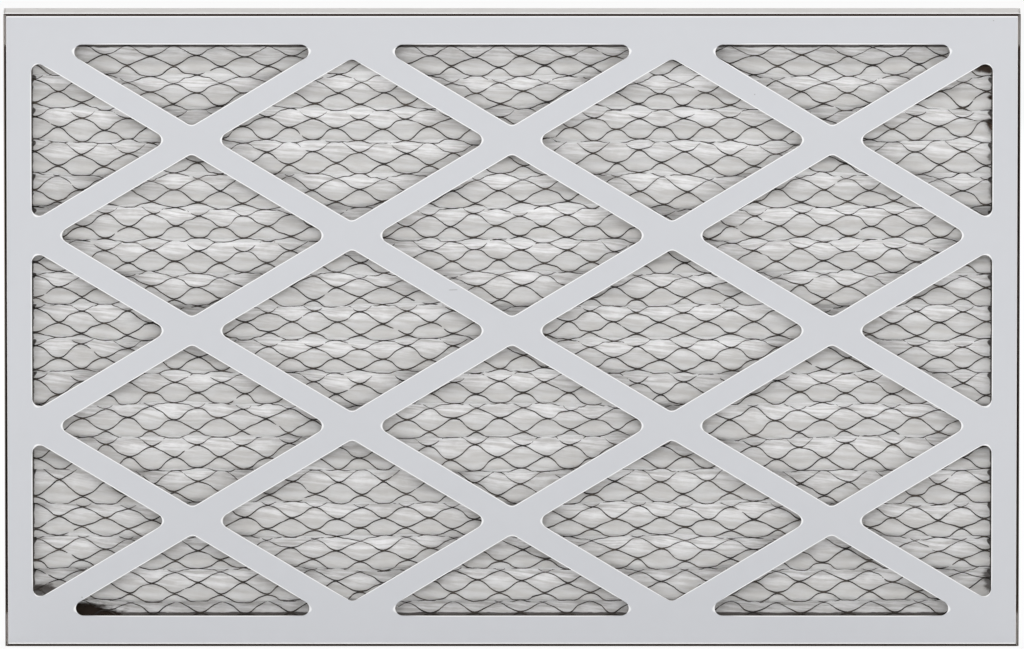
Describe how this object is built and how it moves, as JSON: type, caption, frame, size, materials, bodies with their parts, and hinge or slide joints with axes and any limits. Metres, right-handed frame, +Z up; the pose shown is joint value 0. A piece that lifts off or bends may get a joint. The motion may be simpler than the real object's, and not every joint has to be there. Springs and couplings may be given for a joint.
{
  "type": "pleated panel air filter",
  "caption": "Flat rectangular air filter: a pleated fibre sheet backed with expanded wire mesh, held in a folded board frame with a diamond lattice on both faces.",
  "frame": {"origin": "middle of the bottom edge: bottom centre of the whole filter", "axes": "+X along the long side, +Y through the filter from the wire mesh face to the plain back, +Z up"},
  "size_m": [0.6224, 0.0222, 0.3937],
  "materials": {
    "outer_board": "white coated, brown cut edges",
    "inner_board": "white coated, matte",
    "fibre": "non-woven, fuzzy",
    "wire": "dark, dull"
  },
  "bodies": {
    "root": {"rear_frame": "outer_board", "front_frame": "inner_board", "pleated_media": "fibre", "wire_mesh": "wire"}
  },
  "joints": []
}
